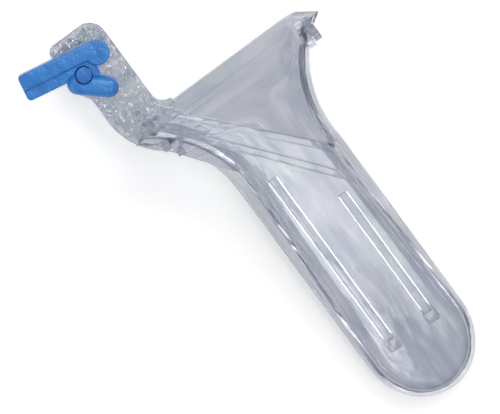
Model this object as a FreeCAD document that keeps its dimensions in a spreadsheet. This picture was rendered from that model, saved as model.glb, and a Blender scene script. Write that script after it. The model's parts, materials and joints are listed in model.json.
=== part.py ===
import FreeCAD, Part
import math
import os
from types import SimpleNamespace

import Sketcher
from FreeCAD import Placement, Rotation, Vector

# Bivalve speculum with a side screw, in millimetres.
# Every piece is drawn in the closing frame: the hinge axis is Y, X runs to the blade tips, and the two
# rims meet on the plane Z = 0. The lever is on the -Y side. The whole is then tipped until the flat
# underside of the lower valve lies on Z = 0, with the hinge above the origin.

SIZES = [
    ("blade_length", 98.7, "hinge axis to the blade tips"),
    ("blade_width", 30.2, "across the straight part of the blades"),
    ("nose_length", 17, "end of the straight sides to the tip"),
    ("nose_radius", 14, "front of the rounded tip"),
    ("flare_radius", 29, "hollow curve from the sides out to the ears"),
    ("flare_reach", 2.9, "how far the flare runs behind the hinge"),
    ("mouth_half", 30.5, "middle of the blades to the end of the flare"),
    ("mouth_depth", 17.5, "closing plane to the floor, at the hinge"),
    ("tip_depth", 4.5, "closing plane to the floor, at the tip"),
    ("mouth_rim", 2.5, "how far the rim runs behind the hinge"),
    ("mouth_floor", 4.7, "how far the floor runs behind the hinge"),
    ("wall", 1.8, "moulded wall of both valves"),
    ("wall_draft", 15, "lean of the side walls, degrees"),
    ("bilge_radius", 4.5, "outer rounding between floor and sides"),
    ("rim_gap", 0.3, "between the two rims when shut"),
    ("ridge_width", 2, "raised ridge across the mouth floor"),
    ("ridge_height", 1, "raised ridge above the floor"),
    ("ridge_length", 31, "raised ridge from side to side"),
    ("mouth_edge_start", 5.6, "slanted mouth edge behind the hinge, lever side"),
    ("mouth_edge_side", 16, "slanted mouth edge start, off the middle"),
    ("mouth_edge_angle", 41.3, "slanted mouth edge from the blade axis, degrees"),
    ("bead_width", 1.9, "beads along the slanted mouth"),
    ("bead_height", 0.9, "beads above the roof"),
    ("bead_inset", 0.3, "ends of the beads inside the outer face of the side walls"),
    ("bead_distance", 4, "between the two slanted beads at the lever side"),
    ("bead_fan", 2.9, "turn of the second bead towards the tip, degrees"),
    ("rail_height", 6, "side rail of the upper valve at the open side"),
    ("rib_width", 2.8, "long ribs inside the upper blade"),
    ("rib_height", 1.4, "long ribs below the roof"),
    ("rib_distance", 12.4, "between the long ribs"),
    ("rib_setback", 12.5, "slanted bead to the start of each long rib"),
    ("rib_margin", 20.1, "end of the long ribs to the tip"),
    ("ear_radius", 3.6, "round ears on the hinge axis"),
    ("ear_thickness", 2, "each ear plate"),
    ("ear_gap", 0.3, "between neighbouring ears"),
    ("ear_foot", 9, "depth of the lower ear plate at the open side"),
    ("turning_gap", 0.4, "around a round ear that turns in its pocket"),
    ("free_ear_face", 26.4, "outer face of the lower ear, open side"),
    ("lever_ear_face", 24.4, "outer face of the lower ear, lever side"),
    ("pivot_diameter", 3.5, "hinge stubs moulded on the upper ears"),
    ("pivot_fit", 0.08, "hinge stub in its hole, on the radius"),
    ("open_angle", 30, "widest opening of the valves, degrees"),
    ("arm_height", 12, "closing plane to the middle of each lever arm"),
    ("arm_thickness", 2.5, "each lever arm"),
    ("arm_length", 37.6, "hinge axis to the end of the arms"),
    ("arm_recess", 3.2, "how much shorter the lower arm is than the upper"),
    ("arm_outer", 31.6, "outer edge of the arms"),
    ("arm_inner", 18.4, "inner edge of the arms"),
    ("arm_root", 3, "hinge axis to where the arm's flange leaves the flare"),
    ("fade_margin", 4, "start of the flare to where the flange fades into the wall"),
    ("shoulder_radius", 18, "outer curve from flare to arm"),
    ("crotch_radius", 3.6, "inner corner between arm and mouth"),
    ("pad_outer", 33.6, "outer edge of the wider end pad"),
    ("pad_length", 17.1, "end of the arms to the start of the pad's slope"),
    ("pad_slope", 3, "length of the slope to the pad"),
    ("end_radius", 4.5, "inner corner of the arm end"),
    ("pad_radius", 2.2, "outer corner of the arm end"),
    ("web_reach", 7, "length of the webs under the arms"),
    ("stem_margin", 10.1, "end of the arms to the screw"),
    ("stem_side", 29.5, "middle of the blades to the screw"),
    ("stem_diameter", 4.6, "screw stem"),
    ("stem_clearance", 0.3, "around the stem in the arm slots"),
    ("stem_recess", 0.3, "end of the stem below the top of the nut when shut"),
    ("rocker_radius", 3, "half-round seat on each arm"),
    ("rocker_length", 8, "half-round seat, from side to side"),
    ("seat_gap", 0.3, "between a seat and the part that bears on it"),
    ("head_width", 6, "oblong head of the screw, along the blades"),
    ("head_length", 11, "oblong head of the screw, across"),
    ("head_height", 3.5, "oblong head of the screw"),
    ("head_rounding", 0.8, "edges of the screw's head"),
    ("hub_diameter", 8.6, "hub of the nut"),
    ("hub_height", 4.8, "hub of the nut"),
    ("nut_fit", 0.08, "stem in the nut, on the radius"),
    ("lever_lift", 1.2, "lever and thumb lobe above the hub's base"),
    ("lever_angle", 10.3, "turn of the lever from the hinge axis, degrees"),
    ("lever_offset", 5.0, "screw axis to the middle of the lever's rail"),
    ("lever_reach", 15.6, "screw axis to the far end of the lever"),
    ("lever_corner", 1.2, "upright corners at the far end of the lever"),
    ("rail_width", 4.3, "raised rail along the lever"),
    ("rail_rise", 0.9, "rail above the lever's ledge"),
    ("ledge_width", 2.9, "ledge along the lever's rail"),
    ("ledge_end", 2, "end of the ledge beyond the screw axis"),
    ("knob_reach", 5.7, "screw axis to the knob at the rail's end, along the lever"),
    ("knob_offset", 3.7, "screw axis to the knob at the rail's end, across the lever"),
    ("knob_radius", 3.3, "round knob at the rail's end"),
    ("lever_rounding", 0.6, "edges of the rail and the knob"),
    ("lobe_width", 5.6, "thumb lobe of the nut"),
    ("lobe_height", 5.6, "thumb lobe of the nut"),
    ("lobe_reach", 6.2, "screw axis to the lobe's far centre, along the blades"),
    ("lobe_side", 3.3, "screw axis to the lobe's far centre, across"),
    ("lobe_root", 1, "screw axis to the lobe's near centre, along the blades"),
    ("lobe_offset", 2.5, "screw axis to the lobe's near centre, across"),
    ("lobe_rounding", 2.2, "edges of the thumb lobe"),
]


class Size:
    """A number together with the sheet formula that it comes from."""

    def __init__(self, value, text=None):
        self.value = float(value)
        self.text = text if text is not None else repr(float(value))

    def _join(self, other, sign, value):
        return Size(value, f"({self.text} {sign} {as_size(other).text})")

    def __add__(self, other):
        return self._join(other, "+", self.value + as_size(other).value)

    def __radd__(self, other):
        return as_size(other) + self

    def __sub__(self, other):
        return self._join(other, "-", self.value - as_size(other).value)

    def __rsub__(self, other):
        return as_size(other) - self

    def __mul__(self, other):
        return self._join(other, "*", self.value * as_size(other).value)

    def __rmul__(self, other):
        return as_size(other) * self

    def __truediv__(self, other):
        return self._join(other, "/", self.value / as_size(other).value)

    def __neg__(self):
        return as_size(0) - self


def as_size(number):
    return number if isinstance(number, Size) else Size(number)


def tangent(angle):
    return Size(math.tan(math.radians(angle.value)), f"tan({angle.text})")


def cosine(angle):
    return Size(math.cos(math.radians(angle.value)), f"cos({angle.text})")


def sine(angle):
    return Size(math.sin(math.radians(angle.value)), f"sin({angle.text})")


def root(number):
    return Size(math.sqrt(number.value), f"sqrt({number.text})")


def fill_sheet(doc):
    """The sheet of driving dimensions, and the same sizes by name."""
    sheet = doc.addObject("Spreadsheet::Sheet", "sizes")
    names = SimpleNamespace()
    for row, (name, value, note) in enumerate(SIZES, start=1):
        sheet.set(f"A{row}", name)
        sheet.set(f"B{row}", str(value))
        sheet.setAlias(f"B{row}", name)
        sheet.set(f"C{row}", note)
        setattr(names, name, Size(value, f"sizes.{name}"))
    doc.recompute()
    return names


doc = FreeCAD.newDocument("bivalve_speculum")
s = fill_sheet(doc)

LOWER = -1
UPPER = 1
FREE = 1
LEVER = -1
ZERO = Size(0)
FAR = Size(60)

blade_slope = (s.mouth_depth - s.tip_depth) / s.blade_length
half_width = s.blade_width / 2
rim = s.rim_gap / 2
nose_start = s.blade_length - s.nose_length
rib_end = s.blade_length - s.rib_margin
side_ease = s.nose_length
nose_side = half_width - s.nose_radius
shoulder_side = ((side_ease * side_ease + half_width * half_width - side_ease * s.nose_radius * 2)
                 / (nose_side * 2))
flare_centre = half_width + s.flare_radius
flare_drop = flare_centre - s.mouth_half
flare_start = root(s.flare_radius * s.flare_radius - flare_drop * flare_drop) - s.flare_reach
stem_reach = s.arm_length - s.stem_margin
pad_start = s.arm_length - s.pad_length
half_open = s.open_angle / 2
stem_radius = s.stem_diameter / 2
seat_distance = s.rocker_radius + s.seat_gap
arm_face = s.arm_height - s.arm_thickness / 2
ear_pocket = s.ear_radius + s.turning_gap


def depth_at(x, grow=ZERO):
    """Closing plane to the floor or roof line at x, with the wall grown by so much."""
    return s.mouth_depth - blade_slope * x + grow


def flare_side(x):
    """Middle of the blades to the outside of the flare at x, at the closing plane."""
    back = flare_start - x
    return flare_centre - root(s.flare_radius * s.flare_radius - back * back)


def origin_plane(body, role):
    for feature in body.Origin.OriginFeatures:
        if feature.Role == role:
            return feature
    raise RuntimeError(f"{body.Label} has no {role}")


def bind(obj, path, size):
    obj.setExpression(path, as_size(size).text)


class Drawing:
    """A sketch on one of its own body's planes, with every size tied to the sheet."""

    def __init__(self, body, name, role="XY_Plane", height=None):
        self.sketch = body.newObject("Sketcher::SketchObject", name)
        self.sketch.AttachmentSupport = [(origin_plane(body, role), "")]
        self.sketch.MapMode = "FlatFace"
        if height is not None:
            bind(self.sketch, ".AttachmentOffset.Base.z", height)

    def line(self, start, end):
        first = Vector(start[0].value, start[1].value, 0)
        last = Vector(end[0].value, end[1].value, 0)
        return self.sketch.addGeometry(Part.LineSegment(first, last), False)

    def arc(self, centre, start, end):
        """An arc that runs anticlockwise from start to end."""
        middle = Vector(centre[0].value, centre[1].value, 0)
        first = Vector(start[0].value, start[1].value, 0)
        last = Vector(end[0].value, end[1].value, 0)
        circle = Part.Circle(middle, Vector(0, 0, 1), (first - middle).Length)
        angles = [math.atan2(p.y - middle.y, p.x - middle.x) for p in (first, last)]
        return self.sketch.addGeometry(Part.ArcOfCircle(circle, angles[0], angles[1]), False)

    def circle(self, centre, radius):
        middle = Vector(centre[0].value, centre[1].value, 0)
        shape = self.sketch.addGeometry(Part.Circle(middle, Vector(0, 0, 1), radius.value), False)
        self.place(shape, 3, centre)
        self.radius(shape, radius)
        return shape

    def rule(self, *words):
        return self.sketch.addConstraint(Sketcher.Constraint(*words))

    def tie(self, number, size):
        bind(self.sketch, f"Constraints[{number}]", size)

    def along(self, kind, axis, shape, point, size):
        """Tie one coordinate of a point to a size, on whichever side of the origin it lies."""
        if abs(size.value) < 1e-9:
            self.rule("PointOnObject", shape, point, axis)
        elif size.value > 0:
            self.tie(self.rule(kind, -1, 1, shape, point, size.value), size)
        else:
            self.tie(self.rule(kind, shape, point, -1, 1, -size.value), -size)

    def place_x(self, shape, point, size):
        self.along("DistanceX", -2, shape, point, as_size(size))

    def place_y(self, shape, point, size):
        self.along("DistanceY", -1, shape, point, as_size(size))

    def place(self, shape, point, place):
        self.place_x(shape, point, place[0])
        self.place_y(shape, point, place[1])

    def radius(self, shape, size):
        self.tie(self.rule("Radius", shape, size.value), size)

    def polygon(self, corners):
        """A closed outline of straight edges through the given corners."""
        corners = [(as_size(x), as_size(y)) for x, y in corners]
        edges = [self.line(a, b) for a, b in zip(corners, corners[1:] + corners[:1])]
        for here, after in zip(edges, edges[1:] + edges[:1]):
            self.rule("Coincident", here, 2, after, 1)
        for edge, corner in zip(edges, corners):
            self.place(edge, 1, corner)
        return edges


def oblong(drawing, near, away, radius):
    """A slot shape with round ends about the two given centres."""
    along = unit((away[0] - near[0]).value, (away[1] - near[1]).value)

    def beside(point, hand):
        return (Size(point[0].value + hand * along[1] * radius.value),
                Size(point[1].value - hand * along[0] * radius.value))

    right = drawing.line(beside(near, 1), beside(away, 1))
    tip = drawing.arc(away, beside(away, 1), beside(away, -1))
    left = drawing.line(beside(away, -1), beside(near, -1))
    heel = drawing.arc(near, beside(near, -1), beside(near, 1))
    drawing.rule("Tangent", right, 2, tip, 1)
    drawing.rule("Tangent", tip, 2, left, 1)
    drawing.rule("Tangent", left, 2, heel, 1)
    drawing.rule("Tangent", heel, 2, right, 1)
    drawing.place(tip, 3, away)
    drawing.place(heel, 3, near)
    drawing.radius(tip, radius)
    return drawing.sketch


def unit(dx, dy):
    length = math.hypot(dx, dy)
    return dx / length, dy / length


def valve_outline(body, grow, ear_reach):
    """Plan of a valve: oval tip, straight sides, hollow flare and a square back past the mouth."""
    drawing = Drawing(body, f"{body.Name}_outline")
    half = half_width + grow
    nose_x = s.blade_length - s.nose_radius
    towards = unit(nose_x.value - nose_start.value, (shoulder_side - half_width).value)
    nose = (s.nose_radius + grow).value
    meet = (Size(nose_x.value + towards[0] * nose), Size(towards[1] * nose))
    flare = s.flare_radius - grow
    back = -FAR / 2
    ear_x = flare_start - root(flare * flare - (flare_centre - ear_reach) * (flare_centre - ear_reach))

    def mirrored(point):
        return point[0], -point[1]

    ear = (ear_x, ear_reach)
    hip = (flare_start, half)
    shoulder = (nose_start, half)
    side_centre = (nose_start, half_width - shoulder_side)
    flare_middle = (flare_start, flare_centre)
    corner = (back, ear_reach)
    top = drawing.line(corner, ear)
    flare_top = drawing.arc(flare_middle, ear, hip)
    side_top = drawing.line(hip, shoulder)
    ease_top = drawing.arc(side_centre, meet, shoulder)
    nose_arc = drawing.arc((nose_x, ZERO), mirrored(meet), meet)
    ease_bottom = drawing.arc(mirrored(side_centre), mirrored(shoulder), mirrored(meet))
    side_bottom = drawing.line(mirrored(shoulder), mirrored(hip))
    flare_bottom = drawing.arc(mirrored(flare_middle), mirrored(hip), mirrored(ear))
    bottom = drawing.line(mirrored(ear), mirrored(corner))
    behind = drawing.line(mirrored(corner), corner)

    drawing.rule("Coincident", top, 2, flare_top, 1)
    drawing.rule("Tangent", flare_top, 2, side_top, 1)
    drawing.rule("Tangent", side_top, 2, ease_top, 2)
    drawing.rule("Tangent", ease_top, 1, nose_arc, 2)
    drawing.rule("Tangent", nose_arc, 1, ease_bottom, 2)
    drawing.rule("Tangent", ease_bottom, 1, side_bottom, 1)
    drawing.rule("Tangent", side_bottom, 2, flare_bottom, 1)
    drawing.rule("Coincident", flare_bottom, 2, bottom, 1)
    drawing.rule("Coincident", bottom, 2, behind, 1)
    drawing.rule("Coincident", behind, 2, top, 1)

    drawing.place(side_top, 1, hip)
    drawing.place(side_top, 2, shoulder)
    drawing.place(side_bottom, 1, mirrored(shoulder))
    drawing.place(side_bottom, 2, mirrored(hip))
    drawing.place(nose_arc, 3, (nose_x, ZERO))
    drawing.radius(nose_arc, s.nose_radius + grow)
    drawing.radius(flare_top, flare)
    drawing.radius(flare_bottom, flare)
    drawing.place_y(flare_top, 1, ear_reach)
    drawing.place_y(flare_bottom, 2, -ear_reach)
    drawing.place(top, 1, corner)
    drawing.place(bottom, 2, mirrored(corner))
    return drawing.sketch


def pad(body, sketch, length, middle=False, back=False):
    feature = body.newObject("PartDesign::Pad", f"{sketch.Name}_pad")
    feature.Profile = sketch
    feature.SideType = "Symmetric" if middle else "One side"
    feature.Reversed = back
    bind(feature, "Length", length)
    return feature


def pocket(body, sketch, length, middle=False, back=False):
    feature = body.newObject("PartDesign::Pocket", f"{sketch.Name}_pocket")
    feature.Profile = sketch
    feature.Type = "Length"
    feature.SideType = "Symmetric" if middle else "One side"
    feature.Reversed = back
    bind(feature, "Length", length)
    return feature


def round_edges(body, wanted, radius, name):
    """Fillet the edges of the body so far for which wanted(edge) holds."""
    doc.recompute()
    base = body.Tip
    edges = [f"Edge{i}" for i, edge in enumerate(base.Shape.Edges, start=1) if wanted(edge)]
    if not edges:
        raise RuntimeError(f"{name} finds no edge to round")
    feature = body.newObject("PartDesign::Fillet", name)
    feature.Base = (base, edges)
    bind(feature, "Radius", radius)
    return feature


def valve_form(name, side, grow, ear_reach, plan_grow=None):
    """The solid wedge of one valve: drafted plan, sloping floor or roof, rounded bilge.

    grow moves every face outwards; plan_grow moves the side walls by another amount.
    """
    plan_grow = grow if plan_grow is None else plan_grow
    body = doc.addObject("PartDesign::Body", name)
    body.Label = name
    outline = valve_outline(body, plan_grow, ear_reach)
    plan = pad(body, outline, s.mouth_depth + FAR / 10, back=side == LOWER)
    bind(plan, "TaperAngle", -s.wall_draft)

    far = s.blade_length + s.nose_radius
    floor_far = side * depth_at(far, grow)
    deep = side * FAR
    cut = Drawing(body, f"{name}_slope", "XZ_Plane")
    floor_back = side * depth_at(-s.mouth_floor, grow)
    above = side * -FAR / 4
    cut.polygon([(-FAR, deep), (far, deep), (far, floor_far), (-s.mouth_floor, floor_back),
                 (-s.mouth_rim, side * rim), (-s.mouth_rim, above), (-FAR, above)])
    pocket(body, cut.sketch, FAR * 3, middle=True)

    def on_floor(edge):
        ends = [edge.valueAt(edge.FirstParameter), edge.valueAt(edge.LastParameter)]
        low = all(abs(side * p.z - depth_at(Size(p.x), grow).value) < 1e-3 for p in ends)
        across = abs(ends[0].x - ends[1].x) < 1e-3
        return low and not across

    round_edges(body, on_floor, s.bilge_radius + grow, f"{name}_bilge")
    doc.recompute()
    return body


def trim_to_rim(body, side):
    """Take the thin slice next to the closing plane off, so that the rims lie apart."""
    slice_ = Drawing(body, f"{body.Name}_rim")
    slice_.polygon([(-FAR * 2, -FAR), (FAR * 2, -FAR), (FAR * 2, FAR), (-FAR * 2, FAR)])
    pocket(body, slice_.sketch, rim, back=side == UPPER)


def hollow(body, side):
    """Cut the space inside the valve, open at the rim and at the mouth."""
    space = valve_form(f"{body.Name}_space", side, -s.wall, s.mouth_half)
    cut = body.newObject("PartDesign::Boolean", f"{body.Name}_hollow")
    cut.setObjects([space])
    cut.Type = "Cut"
    doc.recompute()


def arm_outline(body, side):
    """Plan of a lever arm: shoulder off the flare, straight arm, wider end pad."""
    drawing = Drawing(body, f"{body.Name}_arm", height=side * arm_face)
    outer = s.arm_outer
    reach = s.flare_radius + s.shoulder_radius
    rise = flare_centre - outer + s.shoulder_radius
    shoulder_x = flare_start - root(reach * reach - rise * rise)
    shoulder_y = s.shoulder_radius - outer
    towards = unit((shoulder_x - flare_start).value, (shoulder_y + flare_centre).value)
    meet = (Size(flare_start.value + towards[0] * s.flare_radius.value),
            Size(-flare_centre.value + towards[1] * s.flare_radius.value))
    root_point = (s.arm_root, -flare_side(s.arm_root))
    pad_top = pad_start + s.pad_slope
    end = -s.arm_length if side == UPPER else s.arm_recess - s.arm_length
    points = {
        "shoulder": (shoulder_x, -outer),
        "pad_start": (-pad_start, -outer),
        "pad_top": (-pad_top, -s.pad_outer),
        "pad_corner": (end + s.pad_radius, -s.pad_outer),
        "end_outer": (end, -s.pad_outer + s.pad_radius),
        "end_inner": (end, -s.arm_inner - s.end_radius),
        "inner_corner": (end + s.end_radius, -s.arm_inner),
        "crotch": (-s.mouth_rim - s.crotch_radius * 2, -s.arm_inner),
        "lip": (-s.mouth_rim - s.crotch_radius, -s.arm_inner + s.crotch_radius),
    }
    flare_middle = (flare_start, -flare_centre)
    fade_x = flare_start - s.fade_margin
    inside_wall = s.arm_height * tangent(s.wall_draft) + s.wall / 2
    fade = (fade_x, inside_wall - flare_side(fade_x))
    flare = drawing.arc(flare_middle, root_point, meet)
    shoulder = drawing.arc((shoulder_x, shoulder_y), points["shoulder"], meet)
    outer_edge = drawing.line(points["shoulder"], points["pad_start"])
    slope = drawing.line(points["pad_start"], points["pad_top"])
    pad_edge = drawing.line(points["pad_top"], points["pad_corner"])
    pad_arc = drawing.arc((end + s.pad_radius, -s.pad_outer + s.pad_radius),
                          points["end_outer"], points["pad_corner"])
    end_edge = drawing.line(points["end_outer"], points["end_inner"])
    end_arc = drawing.arc((end + s.end_radius, -s.arm_inner - s.end_radius),
                          points["inner_corner"], points["end_inner"])
    inner_edge = drawing.line(points["inner_corner"], points["crotch"])
    crotch = drawing.arc((points["crotch"][0], points["lip"][1]), points["crotch"], points["lip"])
    root_edge = drawing.line(points["lip"], fade)
    fade_edge = drawing.line(fade, root_point)

    drawing.rule("Tangent", flare, 2, shoulder, 2)
    drawing.rule("Tangent", shoulder, 1, outer_edge, 1)
    drawing.rule("Coincident", outer_edge, 2, slope, 1)
    drawing.rule("Coincident", slope, 2, pad_edge, 1)
    drawing.rule("Tangent", pad_edge, 2, pad_arc, 2)
    drawing.rule("Tangent", pad_arc, 1, end_edge, 1)
    drawing.rule("Tangent", end_edge, 2, end_arc, 2)
    drawing.rule("Tangent", end_arc, 1, inner_edge, 1)
    drawing.rule("Tangent", inner_edge, 2, crotch, 1)
    drawing.rule("Coincident", crotch, 2, root_edge, 1)
    drawing.rule("Coincident", root_edge, 2, fade_edge, 1)
    drawing.rule("Coincident", fade_edge, 2, flare, 1)

    drawing.place(flare, 3, flare_middle)
    drawing.radius(flare, s.flare_radius)
    drawing.place_x(flare, 1, s.arm_root)
    drawing.radius(shoulder, s.shoulder_radius)
    drawing.place_y(outer_edge, 1, -outer)
    drawing.place(slope, 1, points["pad_start"])
    drawing.place(slope, 2, points["pad_top"])
    drawing.place_y(pad_edge, 2, -s.pad_outer)
    drawing.place_x(end_edge, 1, end)
    drawing.rule("Vertical", end_edge)
    drawing.radius(pad_arc, s.pad_radius)
    drawing.radius(end_arc, s.end_radius)
    drawing.place_y(inner_edge, 1, -s.arm_inner)
    drawing.place(inner_edge, 2, points["crotch"])
    drawing.radius(crotch, s.crotch_radius)
    drawing.place_y(crotch, 2, points["lip"][1])
    drawing.place(root_edge, 2, fade)
    return drawing.sketch


def rocker_outline(body, side):
    """Half-round seat on the outer face of an arm, on the line through the screw."""
    drawing = Drawing(body, f"{body.Name}_rocker", "XZ_Plane", height=s.stem_side)
    middle = (-stem_reach, side * s.arm_height)
    front = (middle[0] + s.rocker_radius, middle[1])
    back = (middle[0] - s.rocker_radius, middle[1])
    start, end = (front, back) if side == UPPER else (back, front)
    arc = drawing.arc(middle, start, end)
    flat = drawing.line(end, start)
    drawing.rule("Coincident", arc, 2, flat, 1)
    drawing.rule("Coincident", flat, 2, arc, 1)
    drawing.place(arc, 3, middle)
    drawing.radius(arc, s.rocker_radius)
    drawing.place_y(arc, 1, middle[1])
    drawing.place_y(arc, 2, middle[1])
    return drawing.sketch


def add_arm(body, side):
    """Lever arm with its half-round seat; it grows away from the closing plane."""
    pad(body, arm_outline(body, side), s.arm_thickness, back=side == LOWER)
    pad(body, rocker_outline(body, side), s.rocker_length, middle=True)


def cut_arm_slot(body, side):
    """Slot for the screw, long enough for its lean at the widest opening."""
    lean = s.rocker_radius * tangent(half_open) + stem_radius / cosine(half_open) + s.stem_clearance
    width = s.stem_diameter + s.stem_clearance * 2
    centre = (-stem_reach, -s.stem_side)
    outer = side * (s.arm_height + s.rocker_radius + s.stem_clearance)
    run = lean - width / 2
    slot = Drawing(body, f"{body.Name}_slot", height=outer)
    oblong(slot, (centre[0] - run, centre[1]), (centre[0] + run, centre[1]), width / 2)
    pocket(body, slot.sketch, s.rocker_radius + s.arm_thickness * 2, back=side == LOWER)


def ear_plate(body, name, side, face, outline):
    """An ear between the given outer face and one ear thickness further in.

    face is signed: positive on the open side, negative on the lever side.
    """
    lever = face.value < 0
    drawing = Drawing(body, name, "XZ_Plane", height=-face)
    radius = s.ear_radius
    bottom = (ZERO, side * -radius)
    start = (side * radius, ZERO)
    end = (side * -radius, ZERO)
    arc = drawing.arc((ZERO, ZERO), end, start)
    corners = [start] + outline + [end]
    edges = [drawing.line(a, b) for a, b in zip(corners, corners[1:])]
    drawing.rule("Coincident", arc, 2, edges[0], 1)
    for here, after in zip(edges, edges[1:]):
        drawing.rule("Coincident", here, 2, after, 1)
    drawing.rule("Coincident", edges[-1], 2, arc, 1)
    drawing.place(arc, 3, (ZERO, ZERO))
    drawing.radius(arc, radius)
    drawing.place_y(arc, 1, ZERO)
    drawing.place_y(arc, 2, ZERO)
    for edge, corner in zip(edges, corners[:-1]):
        if edge != edges[0]:
            drawing.place(edge, 1, corner)
    return pad(body, drawing.sketch, s.ear_thickness, back=lever)


def round_pad(body, name, centre, radius, height, length, role="XZ_Plane", back=False):
    drawing = Drawing(body, name, role, height=height)
    drawing.circle(centre, radius)
    return pad(body, drawing.sketch, length, back=back)


def round_pocket(body, name, centre, radius, height, length, role="XZ_Plane", back=False):
    drawing = Drawing(body, name, role, height=height)
    drawing.circle(centre, radius)
    return pocket(body, drawing.sketch, length, back=back)


def lower_faces():
    """Signed outer faces of the lower ears, open side and lever side."""
    return s.free_ear_face, -s.lever_ear_face


def upper_faces():
    """Signed outer faces of the upper ears, which lie inside the lower ones."""
    step = s.ear_thickness + s.ear_gap
    return s.free_ear_face - step, step - s.lever_ear_face


def outward(face):
    return 1 if face.value > 0 else -1


def make_lower_valve():
    """Floor blade with the flared mouth, outer ears and the lower lever arm."""
    body = valve_form("lower_valve", LOWER, ZERO, s.mouth_half)
    trim_to_rim(body, LOWER)
    add_arm(body, LOWER)
    hollow(body, LOWER)

    foot = -s.ear_foot
    web = -arm_face
    for name, face in zip(("lower_free_ear", "lower_lever_ear"), lower_faces()):
        if face.value > 0:
            outline = [(-s.ear_radius / 2, foot), (s.ear_radius / 2, foot)]
        else:
            outline = [(-s.web_reach, web), (s.ear_radius * 1.5, web)]
        ear_plate(body, name, LOWER, face, outline)
    for name, face in zip(("upper_free", "upper_lever"), upper_faces()):
        room = face + outward(face) * s.ear_gap
        length = s.ear_thickness + s.ear_gap * 2
        round_pocket(body, f"{name}_ear_room", (ZERO, ZERO), ear_pocket, -room, length,
                     back=face.value > 0)
    for name, face in zip(("free", "lever"), lower_faces()):
        out = face + outward(face) * s.ear_gap
        round_pocket(body, f"{name}_pivot_hole", (ZERO, ZERO), s.pivot_diameter / 2 + s.pivot_fit,
                     -out, s.ear_thickness + s.ear_gap * 2, back=face.value > 0)
    cut_arm_slot(body, LOWER)

    ridge = Drawing(body, "mouth_ridge", "XZ_Plane")
    near = -s.ridge_width / 2
    away = s.ridge_width / 2
    floor_near = -depth_at(near, -s.wall / 2)
    floor_away = -depth_at(away, -s.wall / 2)
    lift = s.wall / 2 + s.ridge_height
    ridge.polygon([(near, floor_near), (away, floor_away), (away, floor_away + lift),
                   (near, floor_near + lift)])
    pad(body, ridge.sketch, s.ridge_length, middle=True)
    doc.recompute()
    return body


def mouth_edge_point(along, offset, fan=0):
    """A point so far along the slanted mouth edge and so far towards the tip of it.

    fan times the bead fan turns the line towards the tip.
    """
    slant = s.mouth_edge_angle - s.bead_fan * fan
    x = -s.mouth_edge_start + along * cosine(slant) + offset * sine(slant)
    y = -s.mouth_edge_side + along * sine(slant) - offset * cosine(slant)
    return x, y


def slanted_strips(name):
    """Two upright slabs along the slanted mouth edge, where the beads run."""
    body = doc.addObject("PartDesign::Body", name)
    body.Label = name
    start = -s.arm_inner / 4
    end = FAR
    for fan, near in enumerate((ZERO, s.bead_distance)):
        drawing = Drawing(body, f"{name}_{fan}")
        away = near + s.bead_width
        drawing.polygon([mouth_edge_point(start, near, fan), mouth_edge_point(end, near, fan),
                         mouth_edge_point(end, away, fan), mouth_edge_point(start, away, fan)])
        pad(body, drawing.sketch, FAR)
    doc.recompute()
    return body


def add_beads(body):
    """Beads that follow the slanted mouth over the roof and down the side walls."""
    skin = valve_form("bead_skin", UPPER, s.bead_height, s.mouth_half, plan_grow=-s.bead_inset)
    strips = slanted_strips("bead_strips")
    common = skin.newObject("PartDesign::Boolean", "bead_shape")
    common.setObjects([strips])
    common.Type = "Common"
    doc.recompute()
    trim_to_rim(skin, UPPER)
    join = body.newObject("PartDesign::Boolean", "beads")
    join.setObjects([skin])
    join.Type = "Fuse"
    doc.recompute()


def cut_slanted_mouth(body):
    """Open the roof behind the slanted edge down to the side rail."""
    cut = Drawing(body, "slanted_mouth", height=s.rail_height)
    start = mouth_edge_point(ZERO, ZERO)
    end = mouth_edge_point(FAR * 2, ZERO)
    cut.polygon([(-FAR / 2, start[1]), start, end, (-FAR / 2, end[1])])
    pocket(body, cut.sketch, FAR, back=True)


def add_long_ribs(body):
    """Two stiffening ribs inside the roof, from the slanted bead to near the tip."""
    for name, hand in (("left_rib", LEVER), ("right_rib", FREE)):
        offset = s.rib_distance / 2
        run = (s.mouth_edge_side + hand * offset) / tangent(s.mouth_edge_angle)
        start = s.bead_distance / sine(s.mouth_edge_angle) - s.mouth_edge_start + run + s.rib_setback
        drawing = Drawing(body, name, "XZ_Plane", height=-hand * offset)
        top_start = depth_at(start, -s.wall / 2)
        top_end = depth_at(rib_end, -s.wall / 2)
        drop = s.wall / 2 + s.rib_height
        drawing.polygon([(start, top_start), (rib_end, top_end), (rib_end, top_end - drop),
                         (start, top_start - drop)])
        pad(body, drawing.sketch, s.rib_width, middle=True)


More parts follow.
